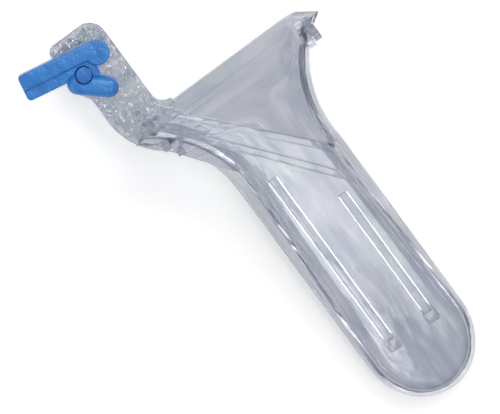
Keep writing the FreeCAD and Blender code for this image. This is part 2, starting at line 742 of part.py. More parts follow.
def make_upper_valve():
    """Roof blade with the slanted mouth, inner ears with hinge stubs and the upper lever arm."""
    body = valve_form("upper_valve", UPPER, ZERO, s.mouth_half)
    add_beads(body)
    trim_to_rim(body, UPPER)
    add_arm(body, UPPER)
    hollow(body, UPPER)
    cut_slanted_mouth(body)

    swing = Drawing(body, "swing_relief", "XZ_Plane")
    lean = tangent(s.open_angle + 2)
    back = s.arm_root * 1.5
    swing.polygon([(ZERO, ZERO - rim), (ZERO, rim), (-back, rim + back * lean), (-back, ZERO - rim)])
    pocket(body, swing.sketch, FAR * 3, middle=True)
    for name, face in zip(("free", "lever"), upper_faces()):
        room = Drawing(body, f"{name}_ear_relief", "XZ_Plane", height=-face)
        room.polygon([(-back, -ear_pocket), (ear_pocket, -ear_pocket), (ear_pocket, ear_pocket),
                      (-back, ear_pocket)])
        pocket(body, room.sketch, FAR, back=face.value < 0)
    web = arm_face
    for name, face in zip(("upper_free_ear", "upper_lever_ear"), upper_faces()):
        if face.value > 0:
            outline = [(s.ear_radius, s.rail_height), (-s.ear_radius, s.rail_height)]
        else:
            outline = [(s.ear_radius * 1.5, web), (-s.web_reach, web)]
        ear_plate(body, name, UPPER, face, outline)
        round_pad(body, f"{name}_stub", (ZERO, ZERO), s.pivot_diameter / 2,
                  -(face - outward(face) * s.ear_thickness / 2),
                  s.ear_thickness * 1.5 + s.ear_gap, back=face.value > 0)
    cut_arm_slot(body, UPPER)
    add_long_ribs(body)
    doc.recompute()
    return body


def make_lock_screw():
    """Plain stem with an oblong head that bridges the slot in the lower arm."""
    body = doc.addObject("PartDesign::Body", "lock_screw")
    body.Label = "lock_screw"
    centre = (-stem_reach, -s.stem_side)
    head_face = -s.arm_height - seat_distance
    head_radius = s.head_width / 2
    run = s.head_length / 2 - head_radius
    head = Drawing(body, "head", height=head_face)
    oblong(head, (centre[0], centre[1] - run), (centre[0], centre[1] + run), head_radius)
    pad(body, head.sketch, s.head_height, back=True)
    round_edges(body, lambda edge: edge.BoundBox.ZLength < 1e-3, s.head_rounding, "head_edges")
    top = s.arm_height * 2 + seat_distance * 2 + s.hub_height - s.stem_recess
    round_pad(body, "stem", centre, stem_radius, head_face - s.head_height / 2,
              top + s.head_height / 2, role="XY_Plane")

    def stem_end(edge):
        return edge.BoundBox.ZMin > s.arm_height.value + s.hub_height.value

    round_edges(body, stem_end, stem_radius / 3, "stem_end")
    doc.recompute()
    return body


def lever_point(along, across):
    """A point of the nut's lever: so far along it and so far to the blades' side of the screw axis."""
    turn = s.lever_angle
    x = -stem_reach + along * sine(turn) + across * cosine(turn)
    y = -s.stem_side + along * cosine(turn) - across * sine(turn)
    return x, y


def lever_strip(body, name, near, away, end, height, length):
    """An upright strip of the lever between two distances across it."""
    strip = Drawing(body, name, height=height)
    start = -s.lever_reach
    strip.polygon([lever_point(start, near), lever_point(start, away), lever_point(end, away),
                   lever_point(end, near)])
    pad(body, strip.sketch, length)


def make_lock_nut():
    """Hub on the stem with a stepped lever, a round knob at its end and one rounded thumb lobe."""
    body = doc.addObject("PartDesign::Body", "lock_nut")
    body.Label = "lock_nut"
    centre = (-stem_reach, -s.stem_side)
    base = s.arm_height + seat_distance
    low = base + s.lever_lift
    ledge = s.hub_height - s.lever_lift
    rail_top = base + s.hub_height + s.rail_rise
    outside = -s.lever_offset - s.rail_width / 2
    step = -s.lever_offset + s.rail_width / 2

    def far_corner(point):
        x, y = point[0].value, point[1].value

        def found(edge):
            box = edge.BoundBox
            return (box.ZLength > s.rail_rise.value
                    and math.hypot(box.XMin - x, box.YMin - y) < s.lever_corner.value
                    and math.hypot(box.XMax - x, box.YMax - y) < s.lever_corner.value)

        return found

    lever_strip(body, "rail", outside, step, s.knob_reach, low, ledge + s.rail_rise)
    round_edges(body, far_corner(lever_point(-s.lever_reach, outside)), s.lever_corner, "rail_corner")
    knob = lever_point(s.knob_reach, -s.knob_offset)
    round_pad(body, "knob", knob, s.knob_radius, low, ledge + s.rail_rise, role="XY_Plane")

    def rail_edge(edge):
        return edge.BoundBox.ZMin > (rail_top - s.rail_rise / 2).value

    round_edges(body, rail_edge, s.lever_rounding, "rail_edges")
    lever_strip(body, "ledge", step - s.lever_corner, step + s.ledge_width, s.ledge_end, low, ledge)
    round_edges(body, far_corner(lever_point(-s.lever_reach, step + s.ledge_width)), s.lever_corner,
                "ledge_corner")
    near = (centre[0] + s.lobe_root, centre[1] - s.lobe_offset)
    away = (centre[0] + s.lobe_reach, centre[1] + s.lobe_side)
    lobe_body = doc.addObject("PartDesign::Body", "thumb_lobe")
    lobe = Drawing(lobe_body, "lobe_outline", height=low)
    oblong(lobe, near, away, s.lobe_width / 2)
    pad(lobe_body, lobe.sketch, s.lobe_height)
    round_edges(lobe_body, lambda edge: edge.BoundBox.ZLength < 1e-3, s.lobe_rounding, "lobe_edges")
    doc.recompute()
    join = body.newObject("PartDesign::Boolean", "lobe")
    join.setObjects([lobe_body])
    join.Type = "Fuse"
    doc.recompute()
    round_pad(body, "hub", centre, s.hub_diameter / 2, base, s.hub_height, role="XY_Plane")
    top = low + s.lobe_height + s.hub_height
    round_pocket(body, "bore", centre, stem_radius + s.nut_fit, top, FAR / 2, role="XY_Plane")
    doc.recompute()
    return body


def rest_placement():
    """Tip the closing frame until the lower valve's underside is level, and lift it onto Z = 0."""
    wedge = math.atan(blade_slope.value)
    lift = s.mouth_depth.value * math.cos(wedge)
    return Placement(Vector(0, 0, lift), Rotation(Vector(0, 1, 0), math.degrees(wedge)))


def build():
    pieces = [make_lower_valve(), make_upper_valve(), make_lock_screw(), make_lock_nut()]
    place = rest_placement()
    for piece in pieces:
        piece.Placement = place
    doc.recompute()
    return pieces


def check(pieces):
    for obj in doc.Objects:
        if "Invalid" in obj.State or "Error" in obj.State:
            raise RuntimeError(f"{obj.Name} did not compute: {obj.getStatusString()}")
    for piece in pieces:
        if piece.Shape.isNull() or not piece.Shape.isValid():
            raise RuntimeError(f"{piece.Label} has no valid shape")
        if len(piece.Shape.Solids) != 1:
            raise RuntimeError(f"{piece.Label} is {len(piece.Shape.Solids)} solids")


pieces = build()
check(pieces)
os.makedirs("parts", exist_ok=True)
for piece in pieces:
    piece.Shape.exportStep(f"parts/{piece.Label}.step")
    print(piece.Label, "volume", round(piece.Shape.Volume, 1))
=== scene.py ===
import json
import math

import bmesh
import bpy
from bpy.props import FloatProperty, FloatVectorProperty, IntProperty, PointerProperty
from mathutils import Euler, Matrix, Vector


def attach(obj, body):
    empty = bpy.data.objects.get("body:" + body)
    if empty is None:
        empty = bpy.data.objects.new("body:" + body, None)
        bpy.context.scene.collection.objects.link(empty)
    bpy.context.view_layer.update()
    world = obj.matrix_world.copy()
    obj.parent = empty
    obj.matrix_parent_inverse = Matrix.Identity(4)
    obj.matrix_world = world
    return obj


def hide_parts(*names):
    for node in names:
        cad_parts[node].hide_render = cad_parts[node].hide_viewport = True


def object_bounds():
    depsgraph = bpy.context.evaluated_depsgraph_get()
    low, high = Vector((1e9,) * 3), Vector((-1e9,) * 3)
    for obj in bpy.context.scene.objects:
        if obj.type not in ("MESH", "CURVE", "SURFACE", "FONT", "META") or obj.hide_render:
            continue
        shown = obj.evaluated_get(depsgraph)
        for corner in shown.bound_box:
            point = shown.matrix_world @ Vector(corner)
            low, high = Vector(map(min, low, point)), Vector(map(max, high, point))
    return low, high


bl_info = {
    "name": "Bivalve speculum",
    "version": (1, 0, 0),
    "blender": (4, 5, 0),
    "location": "3D View > Sidebar > Speculum",
    "description": "Dresses the clear valves and the blue lock, and sets the studio round them",
    "category": "Object",
}

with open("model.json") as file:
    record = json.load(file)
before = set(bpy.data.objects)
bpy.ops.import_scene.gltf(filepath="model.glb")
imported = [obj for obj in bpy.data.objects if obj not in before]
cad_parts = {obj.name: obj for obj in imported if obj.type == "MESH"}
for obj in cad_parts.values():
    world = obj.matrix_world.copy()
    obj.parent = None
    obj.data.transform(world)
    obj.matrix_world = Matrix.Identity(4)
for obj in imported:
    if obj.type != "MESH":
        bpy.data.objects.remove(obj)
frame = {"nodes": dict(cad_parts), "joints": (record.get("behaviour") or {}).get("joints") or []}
cad_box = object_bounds()
NODES = frame["nodes"]
JOINTS = {joint["name"]: joint for joint in frame["joints"]}

HINGE = Vector(JOINTS["valve_hinge"]["pos_m"])
STEM_FOOT = Vector(JOINTS["screw_swing"]["pos_m"])
STEM_UP = -Vector(JOINTS["nut_travel"]["axis"]).normalized()
ROOF_SLOPE = 2.0 * math.atan2(STEM_UP.x, STEM_UP.z)

PICTURE_WIDTH = 500
PICTURE_HEIGHT = 414
SENSOR = 0.036
NEAREST_SEEN = 0.05
FARTHEST_SEEN = 20.0

# Where the moulded edges to be rounded lie, in metres and degrees
RIB_SIDE = (0.0045, 0.0079)
RIB_REACH = (0.020, 0.082)
RIB_END_REACH = (0.070, 0.082)
RIB_MIDDLE = 0.0062
RIB_SHORTEST = 0.005
BEAD_TURN = (37.0, 44.5)
BEAD_REACH = (-0.012, 0.045)
BEAD_ABOVE_HINGE = 0.004
RIDGE_REACH = (-0.004, 0.004)
RIDGE_HIGHEST = 0.006
RIDGE_SHORTEST = 0.010
ROOF_LOWEST = 0.008
STRAIGHT = 0.02
SHARP = math.radians(35)
ROUNDING_STEPS = 4

# The square boss at a rib's end, in shares of its width, and its rise over the corner in metres
BOSS_FORWARD = 0.1
BOSS_HEIGHT = 0.7
BOSS_ROUNDING = 0.16
BOSS_STEPS = 3
BOSS_RISE = 0.0004

# Joining the CAD's loose triangles, and the thread's turns
SKIN_WELD = 2e-6
SKIN_FLAT = math.radians(0.05)
THREAD_WELD = 1e-6

# Bands over which a pattern of the plastic comes in, in metres or as a share of the noise
STREAK_BAND = (0.40, 0.60)
BLUE_STREAK_BAND = (0.35, 0.75)
STRAIN_BAND = (0.52, 0.70)
PEBBLE_BAND = (0.15, 0.75)
FUNNEL_BAND = (0.012, 0.003)
GRIP_ALONG = (0.0, -0.009)
GRIP_ACROSS = (-0.013, -0.020)
HORIZON_BAND = (0.15, 0.62)
CLEAR_ROUGHNESS = (0.03, 0.11)
BLUE_ROUGHNESS = (0.12, 0.26)
USUAL_FLOW_WIDTH = 0.004
USUAL_STRETCH = 0.12
USUAL_PEBBLE = 0.002
RIPPLE_DETAIL = 2.0
RIPPLE_ROUGHNESS = 0.45
DRIFT_DETAIL = 1.0
DRIFT_SCALE = 0.22
DRIFT_IN_STREAKS = 0.45
PEBBLE_SOFTNESS = 0.7
MOST_STRAIN = 0.8
BLUE_DEPTH_GLOW = 0.08
BLUE_GLOW_DEPTH = 0.0015
BLUE_STRETCH = 0.5
BLUE_RIPPLE = 4
EDGE_SAMPLES = 6
FLOOR_ROUGHNESS = 0.9

# The thread's outline over one turn: 0 for the root and 1 for the crest, and the share of the pitch
THREAD_OUTLINE = ((0, 0.0), (0, 0.22), (1, 0.44), (1, 0.72), (0, 1.0))
SPARE_TURNS = 5
TURNS_BELOW = 2
STEM_OVERLAP = 0.001

# Name, place, size and share of the main lamp's power
LAMPS = (
    ("main_lamp", (-0.35, 0.45, 0.85), (0.9, 0.6), 1.0),
    ("roof_lamp", (0.60, 0.16, 1.05), (0.55, 0.20), 0.27),
    ("overhead_lamp", (0.03, 0.26, 1.95), (0.8, 0.16), 0.6),
    ("left_strip", (0.05, 0.85, 0.60), (1.0, 0.04), 0.3),
    ("right_strip", (0.05, -0.80, 0.75), (1.0, 0.04), 0.3),
    ("sparkle_lamp", (0.30, 0.22, 1.10), (0.05, 0.05), 0.06),
    ("low_strip", (0.05, -0.95, 0.30), (1.0, 0.05), 0.25),
)
FLOOR_SIZE = 6.0
FLOOR_DROP = 0.0003
WALL_BOUNCES = 32
GLOSS_BOUNCES = 24


# Sizes and colours

class ClearPlasticSettings(bpy.types.PropertyGroup):
    """The clear moulded plastic of both valves."""

    tint: FloatVectorProperty(
        name="Tint", description="Colour that one wall of the clear plastic gives the light",
        subtype="COLOR", size=3, min=0.0, max=1.0, default=(0.87, 0.872, 0.89))
    tint_cool: FloatVectorProperty(
        name="Cool tint", description="Second colour that drifts through the moulding",
        subtype="COLOR", size=3, min=0.0, max=1.0, default=(0.60, 0.635, 0.71))
    tint_warm: FloatVectorProperty(
        name="Stress tint",
        description="Pale green-gold tint of the strained plastic, in drifting patches",
        subtype="COLOR", size=3, min=0.0, max=1.0, default=(0.80, 0.86, 0.82))
    depth_colour: FloatVectorProperty(
        name="Depth colour", description="Colour left over after a long way through the plastic",
        subtype="COLOR", size=3, min=0.0, max=1.0, default=(0.52, 0.55, 0.65))
    depth_density: FloatProperty(
        name="Depth density", description="How fast the depth colour builds up, per metre",
        default=45.0, min=0.0)
    ior: FloatProperty(
        name="Index of refraction", description="Of clear moulded polystyrene",
        default=1.57, min=1.0)
    flow_width: FloatProperty(
        name="Flow width", description="Width of one flow streak of the moulding",
        subtype="DISTANCE", unit="LENGTH", default=0.0035, min=0.0001)
    ripple: FloatProperty(
        name="Ripple", description="Height of the flow ripple of the moulding",
        subtype="DISTANCE", unit="LENGTH", default=0.00014, min=0.0)
    pebble: FloatProperty(
        name="Pebble", description="Height of the pebbled grip on the levers",
        subtype="DISTANCE", unit="LENGTH", default=0.00010, min=0.0)
    pebble_size: FloatProperty(
        name="Pebble size", description="Width of one pebble of the grip",
        subtype="DISTANCE", unit="LENGTH", default=0.0014, min=0.0001)
    edge: FloatProperty(
        name="Edge rounding", description="Rounding of the moulded edges",
        subtype="DISTANCE", unit="LENGTH", default=0.0003, min=0.0)
    rib_rounding: FloatProperty(
        name="Rib rounding", description="Rounding of the long ribs inside the roof",
        subtype="DISTANCE", unit="LENGTH", default=0.0009, min=0.0)
    boss: FloatProperty(
        name="Rib boss", description="Width of the square boss that ends each long rib",
        subtype="DISTANCE", unit="LENGTH", default=0.0034, min=0.001)
    bead_rounding: FloatProperty(
        name="Bead rounding", description="Rounding of the beads along the slanted mouth",
        subtype="DISTANCE", unit="LENGTH", default=0.0008, min=0.0)
    ridge_rounding: FloatProperty(
        name="Ridge rounding", description="Rounding of the ridge across the mouth floor",
        subtype="DISTANCE", unit="LENGTH", default=0.0007, min=0.0)


class BluePlasticSettings(bpy.types.PropertyGroup):
    """The opaque blue plastic of the screw and the nut."""

    colour: FloatVectorProperty(
        name="Colour", description="Main colour of the lock",
        subtype="COLOR", size=3, min=0.0, max=1.0, default=(0.006, 0.145, 0.490))
    colour_pale: FloatVectorProperty(
        name="Pale colour", description="Colour of the flow streaks and the thin edges",
        subtype="COLOR", size=3, min=0.0, max=1.0, default=(0.030, 0.225, 0.610))
    ior: FloatProperty(
        name="Index of refraction", description="Of the blue plastic", default=1.5, min=1.0)
    flow_width: FloatProperty(
        name="Flow width", description="Width of one flow streak of the moulding",
        subtype="DISTANCE", unit="LENGTH", default=0.0022, min=0.0001)
    grain: FloatProperty(
        name="Grain", description="Height of the fine surface grain",
        subtype="DISTANCE", unit="LENGTH", default=0.00003, min=0.0)
    grain_size: FloatProperty(
        name="Grain size", description="Width of one grain of the surface",
        subtype="DISTANCE", unit="LENGTH", default=0.0007, min=0.0001)
    edge: FloatProperty(
        name="Edge rounding", description="Rounding of the moulded edges",
        subtype="DISTANCE", unit="LENGTH", default=0.0003, min=0.0)


class ThreadSettings(bpy.types.PropertyGroup):
    """The thread on the screw's stem."""

    pitch: FloatProperty(
        name="Pitch", description="Rise of the thread in one turn",
        subtype="DISTANCE", unit="LENGTH", default=0.0016, min=0.0005)
    depth: FloatProperty(
        name="Depth", description="Crest of the thread above its root",
        subtype="DISTANCE", unit="LENGTH", default=0.0004, min=0.0001)
    radius: FloatProperty(
        name="Radius", description="Radius at the crest of the thread",
        subtype="DISTANCE", unit="LENGTH", default=0.0023, min=0.001)
    head: FloatProperty(
        name="Head", description="Height of the screw's head with the plain neck over it",
        subtype="DISTANCE", unit="LENGTH", default=0.0040, min=0.001)
    steps: IntProperty(
        name="Steps", description="Faces in one turn of the thread", default=24, min=8)


class StageSettings(bpy.types.PropertyGroup):
    """The floor, the lamps and the camera."""

    floor: FloatVectorProperty(
        name="Floor", description="Colour of the floor",
        subtype="COLOR", size=3, min=0.0, max=1.0, default=(0.93, 0.93, 0.93))
    # Painted shade: the floor as seen through the clear plastic gets this darker, cooler colour,
    # standing in for the object's shadow on the floor beneath it
    painted_shade_under_glass: FloatVectorProperty(
        name="Under the glass", description="Colour of the floor as the clear plastic shows it",
        subtype="COLOR", size=3, min=0.0, max=1.0, default=(0.555, 0.568, 0.625))
    floor_glow: FloatProperty(
        name="Floor glow", description="Light that the floor gives the camera by itself",
        default=0.32, min=0.0)
    horizon: FloatVectorProperty(
        name="Horizon", description="Colour of the room round the table",
        subtype="COLOR", size=3, min=0.0, max=1.0, default=(0.45, 0.47, 0.53))
    room: FloatProperty(
        name="Room light", description="Strength of the even light of the room",
        default=0.55, min=0.0)
    lamp: FloatProperty(
        name="Lamp", description="Power of the main soft lamp",
        subtype="POWER", unit="POWER", default=4.0, min=0.0)
    camera_height: FloatProperty(
        name="Camera height", description="Height of the camera over the table",
        subtype="DISTANCE", unit="LENGTH", default=1.5, min=0.3)
    scale: FloatProperty(
        name="Picture scale", description="Pixels of the picture to one millimetre of the object",
        default=3.83, min=0.1)
    hinge_x: FloatProperty(
        name="Hinge across", description="Pixel column of the hinge", default=233.0)
    hinge_y: FloatProperty(
        name="Hinge down", description="Pixel row of the hinge", default=86.2)
    turn: FloatProperty(
        name="Turn", description="Turn of the picture over the table",
        subtype="ANGLE", unit="ROTATION", default=math.radians(53.6))


SETTINGS = (
    ("clear_plastic", ClearPlasticSettings),
    ("blue_plastic", BluePlasticSettings),
    ("stem_thread", ThreadSettings),
    ("studio", StageSettings),
)


# Working on meshes

def within(value, band):
    """Whether the value lies between the two ends of the band."""
    return band[0] < value < band[1]


def deselect():
    """Leave edit mode and let go of everything."""
    if bpy.context.object and bpy.context.object.mode != "OBJECT":
        bpy.ops.object.mode_set(mode="OBJECT")
    bpy.ops.object.select_all(action="DESELECT")


def take(piece):
    """Make one piece the only selected and active one."""
    deselect()
    piece.select_set(True)
    bpy.context.view_layer.objects.active = piece


def settle(piece):
    """Put the piece's place into its mesh."""
    take(piece)
    bpy.ops.object.transform_apply(location=True, rotation=True, scale=True)


def merged_copy(node, name):
    """A copy of a CAD node with its loose triangles joined to one skin."""
    piece = bpy.data.objects.new(name, NODES[node].data.copy())
    bpy.context.scene.collection.objects.link(piece)
    piece.data.materials.clear()
    take(piece)
    bpy.ops.object.mode_set(mode="EDIT")
    bpy.ops.mesh.select_all(action="SELECT")
    bpy.ops.mesh.remove_doubles(threshold=SKIN_WELD)
    bpy.ops.mesh.dissolve_limited(angle_limit=SKIN_FLAT)
    bpy.ops.object.mode_set(mode="OBJECT")
    if piece.data.has_custom_normals:
        bpy.ops.mesh.customdata_custom_splitnormals_clear()
    return piece


def soften(piece, width, wanted):
    """Round the outward edges for which wanted(start, end) holds."""
    take(piece)
    bpy.ops.object.mode_set(mode="EDIT")
    bpy.ops.mesh.select_mode(type="EDGE")
    bpy.ops.mesh.select_all(action="DESELECT")
    mesh = bmesh.from_edit_mesh(piece.data)
    chosen = 0
    for edge in mesh.edges:
        if len(edge.link_faces) == 2 and edge.is_convex and edge.calc_face_angle() > SHARP:
            if wanted(edge.verts[0].co, edge.verts[1].co):
                edge.select_set(True)
                chosen += 1
    bmesh.update_edit_mesh(piece.data)
    if not chosen:
        raise RuntimeError(f"{piece.name} has no such edge")
    bpy.ops.mesh.bevel(offset=width, segments=ROUNDING_STEPS, affect="EDGES", clamp_overlap=True)
    bpy.ops.object.mode_set(mode="OBJECT")


def smooth(piece, degrees=32):
    """Shade the piece smooth, with edges sharper than this left crisp."""
    take(piece)
    bpy.ops.object.shade_smooth_by_angle(angle=math.radians(degrees))


def finish_piece(piece, node, material):
    """Give the piece its material and body, and let it stand for the CAD node of that name."""
    piece.data.materials.clear()
    piece.data.materials.append(material)
    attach(piece, node)
    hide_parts(node)
    deselect()


# Materials

def socket(group, name, direction, kind, default=None):
    """Add a named input or output to a node group."""
    made = group.interface.new_socket(name=name, in_out=direction, socket_type=kind)
    if default is not None:
        made.default_value = default
    return made


def add_node(tree, kind, place, **values):
    """Add a node at its place in the editor, with its own options set."""
    node = tree.nodes.new(kind)
    node.location = place
    for name, value in values.items():
        setattr(node, name, value)
    return node


def map_range(tree, place, band, result=(0.0, 1.0), **values):
    """A node that turns the values over a band into the values of the result."""
    node = add_node(tree, "ShaderNodeMapRange", place, **values)
    node.inputs["From Min"].default_value = band[0]
    node.inputs["From Max"].default_value = band[1]
    node.inputs["To Min"].default_value = result[0]
    node.inputs["To Max"].default_value = result[1]
    return node


def flow_ripple_group():
    """Long soft ripples that the flowing plastic leaves, and a slow drift of colour."""
    if "Flow ripple" in bpy.data.node_groups:
        return bpy.data.node_groups["Flow ripple"]
    group = bpy.data.node_groups.new("Flow ripple", "ShaderNodeTree")
    socket(group, "Vector", "INPUT", "NodeSocketVector")
    socket(group, "Width", "INPUT", "NodeSocketFloat", USUAL_FLOW_WIDTH)
    socket(group, "Stretch", "INPUT", "NodeSocketFloat", USUAL_STRETCH)
    socket(group, "Height", "OUTPUT", "NodeSocketFloat")
    socket(group, "Drift", "OUTPUT", "NodeSocketFloat")
    socket(group, "Streaks", "OUTPUT", "NodeSocketFloat")
    start = add_node(group, "NodeGroupInput", (-900, 0))
    end = add_node(group, "NodeGroupOutput", (500, 0))
    squash = add_node(group, "ShaderNodeCombineXYZ", (-700, -200))
    squash.inputs["Y"].default_value = 1.0
    squash.inputs["Z"].default_value = 1.0
    along = add_node(group, "ShaderNodeVectorMath", (-500, 0), operation="MULTIPLY")
    scale = add_node(group, "ShaderNodeMath", (-500, -250), operation="DIVIDE")
    scale.inputs[0].default_value = 1.0
    ripple = add_node(group, "ShaderNodeTexNoise", (-250, 100))
    ripple.inputs["Detail"].default_value = RIPPLE_DETAIL
    ripple.inputs["Roughness"].default_value = RIPPLE_ROUGHNESS
    slow = add_node(group, "ShaderNodeMath", (-350, -350), operation="MULTIPLY")
    slow.inputs[1].default_value = DRIFT_SCALE
    drift = add_node(group, "ShaderNodeTexNoise", (-100, -250))
    drift.inputs["Detail"].default_value = DRIFT_DETAIL
    both = add_node(group, "ShaderNodeMix", (150, -100), data_type="FLOAT")
    both.inputs["Factor"].default_value = DRIFT_IN_STREAKS
    streaks = map_range(group, (320, -100), STREAK_BAND)
    links = group.links
    links.new(ripple.outputs["Fac"], both.inputs["A"])
    links.new(drift.outputs["Fac"], both.inputs["B"])
    links.new(both.outputs["Result"], streaks.inputs["Value"])
    links.new(streaks.outputs["Result"], end.inputs["Streaks"])
    links.new(start.outputs["Stretch"], squash.inputs["X"])
    links.new(start.outputs["Vector"], along.inputs[0])
    links.new(squash.outputs["Vector"], along.inputs[1])
    links.new(start.outputs["Width"], scale.inputs[1])
    links.new(along.outputs["Vector"], ripple.inputs["Vector"])
    links.new(scale.outputs["Value"], ripple.inputs["Scale"])
    links.new(scale.outputs["Value"], slow.inputs[0])
    links.new(start.outputs["Vector"], drift.inputs["Vector"])
    links.new(slow.outputs["Value"], drift.inputs["Scale"])
    links.new(ripple.outputs["Fac"], end.inputs["Height"])
    links.new(drift.outputs["Fac"], end.inputs["Drift"])
    return group


def pebble_group():
    """Rounded pebbles with soft valleys between them."""
    if "Pebbles" in bpy.data.node_groups:
        return bpy.data.node_groups["Pebbles"]
    group = bpy.data.node_groups.new("Pebbles", "ShaderNodeTree")
    socket(group, "Vector", "INPUT", "NodeSocketVector")
    socket(group, "Size", "INPUT", "NodeSocketFloat", USUAL_PEBBLE)
    socket(group, "Height", "OUTPUT", "NodeSocketFloat")
    start = add_node(group, "NodeGroupInput", (-700, 0))
    end = add_node(group, "NodeGroupOutput", (500, 0))
    scale = add_node(group, "ShaderNodeMath", (-500, -150), operation="DIVIDE")
    scale.inputs[0].default_value = 1.0
    cells = add_node(group, "ShaderNodeTexVoronoi", (-250, 0), feature="SMOOTH_F1")
    cells.inputs["Smoothness"].default_value = PEBBLE_SOFTNESS
    rise = map_range(group, (0, 0), PEBBLE_BAND, (1.0, 0.0))
    links = group.links
    links.new(start.outputs["Size"], scale.inputs[1])
    links.new(start.outputs["Vector"], cells.inputs["Vector"])
    links.new(scale.outputs["Value"], cells.inputs["Scale"])
    links.new(cells.outputs["Distance"], rise.inputs["Value"])
    links.new(rise.outputs["Result"], end.inputs["Height"])
    return group


def new_material(name):
    """An empty node material and its tree."""
    material = bpy.data.materials.new(name)
    material.use_nodes = True
    material.node_tree.nodes.clear()
    return material, material.node_tree


def make_clear_plastic(settings):
    """Clear plastic with pebbled levers and flow streaks, turned along the mouth in the funnel."""
    material, tree = new_material("Clear moulded plastic")
    links = tree.links
    output = add_node(tree, "ShaderNodeOutputMaterial", (900, 0))
    surface = add_node(tree, "ShaderNodeBsdfPrincipled", (600, 0))
    surface.inputs["IOR"].default_value = settings.ior
    surface.inputs["Transmission Weight"].default_value = 1.0
    depth = add_node(tree, "ShaderNodeVolumeAbsorption", (600, -500))
    depth.inputs["Color"].default_value = (*settings.depth_colour, 1.0)
    depth.inputs["Density"].default_value = settings.depth_density
    place = add_node(tree, "ShaderNodeTexCoord", (-900, 0))
    flow = add_node(tree, "ShaderNodeGroup", (-650, 150), node_tree=flow_ripple_group())
    flow.inputs["Width"].default_value = settings.flow_width
    pebbles = add_node(tree, "ShaderNodeGroup", (-650, -150), node_tree=pebble_group())
    pebbles.inputs["Size"].default_value = settings.pebble_size

    colour = add_node(tree, "ShaderNodeMix", (-300, 250), data_type="RGBA")
    colour.inputs["A"].default_value = (*settings.tint, 1.0)
    colour.inputs["B"].default_value = (*settings.tint_cool, 1.0)
    strained = add_node(tree, "ShaderNodeMix", (-100, 350), data_type="RGBA")
    strained.inputs["B"].default_value = (*settings.tint_warm, 1.0)
    strain = map_range(
        tree, (-300, 500), STRAIN_BAND, (0.0, MOST_STRAIN), interpolation_type="SMOOTHSTEP")
    rough = map_range(tree, (-300, 0), (0.0, 1.0), CLEAR_ROUGHNESS)

    parts = add_node(tree, "ShaderNodeSeparateXYZ", (-650, -400))
    grip = map_range(tree, (-450, -400), GRIP_ALONG, interpolation_type="SMOOTHSTEP")
    sided = map_range(tree, (-450, -650), GRIP_ACROSS, interpolation_type="SMOOTHSTEP")
    mask = add_node(tree, "ShaderNodeMath", (-250, -450), operation="MULTIPLY")
    raised = add_node(tree, "ShaderNodeMath", (-50, -350), operation="MULTIPLY")

    edge = add_node(tree, "ShaderNodeBevel", (-50, -100), samples=EDGE_SAMPLES)
    edge.inputs["Radius"].default_value = settings.edge
    ripple = add_node(tree, "ShaderNodeBump", (150, -150))
    ripple.inputs["Distance"].default_value = settings.ripple
    pebbled = add_node(tree, "ShaderNodeBump", (350, -250))
    pebbled.inputs["Distance"].default_value = settings.pebble

    crosswise = add_node(tree, "ShaderNodeVectorRotate", (-900, 300), rotation_type="Z_AXIS")
    crosswise.inputs["Angle"].default_value = math.radians(90)
    in_funnel = map_range(tree, (-900, 550), FUNNEL_BAND, interpolation_type="SMOOTHSTEP")
    flow_line = add_node(tree, "ShaderNodeMix", (-800, 150), data_type="VECTOR")
    links.new(place.outputs["Object"], parts.inputs["Vector"])
    links.new(place.outputs["Object"], crosswise.inputs["Vector"])
    links.new(parts.outputs["X"], in_funnel.inputs["Value"])
    links.new(in_funnel.outputs["Result"], flow_line.inputs["Factor"])
    links.new(place.outputs["Object"], flow_line.inputs["A"])
    links.new(crosswise.outputs["Vector"], flow_line.inputs["B"])
    links.new(flow_line.outputs["Result"], flow.inputs["Vector"])
    links.new(place.outputs["Object"], pebbles.inputs["Vector"])
    links.new(flow.outputs["Streaks"], colour.inputs["Factor"])
    links.new(colour.outputs["Result"], strained.inputs["A"])
    links.new(flow.outputs["Drift"], strain.inputs["Value"])
    links.new(strain.outputs["Result"], strained.inputs["Factor"])
    links.new(strained.outputs["Result"], surface.inputs["Base Color"])
    links.new(flow.outputs["Drift"], rough.inputs["Value"])
    links.new(rough.outputs["Result"], surface.inputs["Roughness"])
    links.new(parts.outputs["X"], grip.inputs["Value"])
    links.new(parts.outputs["Y"], sided.inputs["Value"])
    links.new(grip.outputs["Result"], mask.inputs[0])
    links.new(sided.outputs["Result"], mask.inputs[1])
    links.new(mask.outputs["Value"], raised.inputs[0])
    links.new(pebbles.outputs["Height"], raised.inputs[1])
    links.new(edge.outputs["Normal"], ripple.inputs["Normal"])
    links.new(flow.outputs["Height"], ripple.inputs["Height"])
    links.new(ripple.outputs["Normal"], pebbled.inputs["Normal"])
    links.new(raised.outputs["Value"], pebbled.inputs["Height"])
    links.new(pebbled.outputs["Normal"], surface.inputs["Normal"])
    links.new(surface.outputs["BSDF"], output.inputs["Surface"])
    links.new(depth.outputs["Volume"], output.inputs["Volume"])
    return material


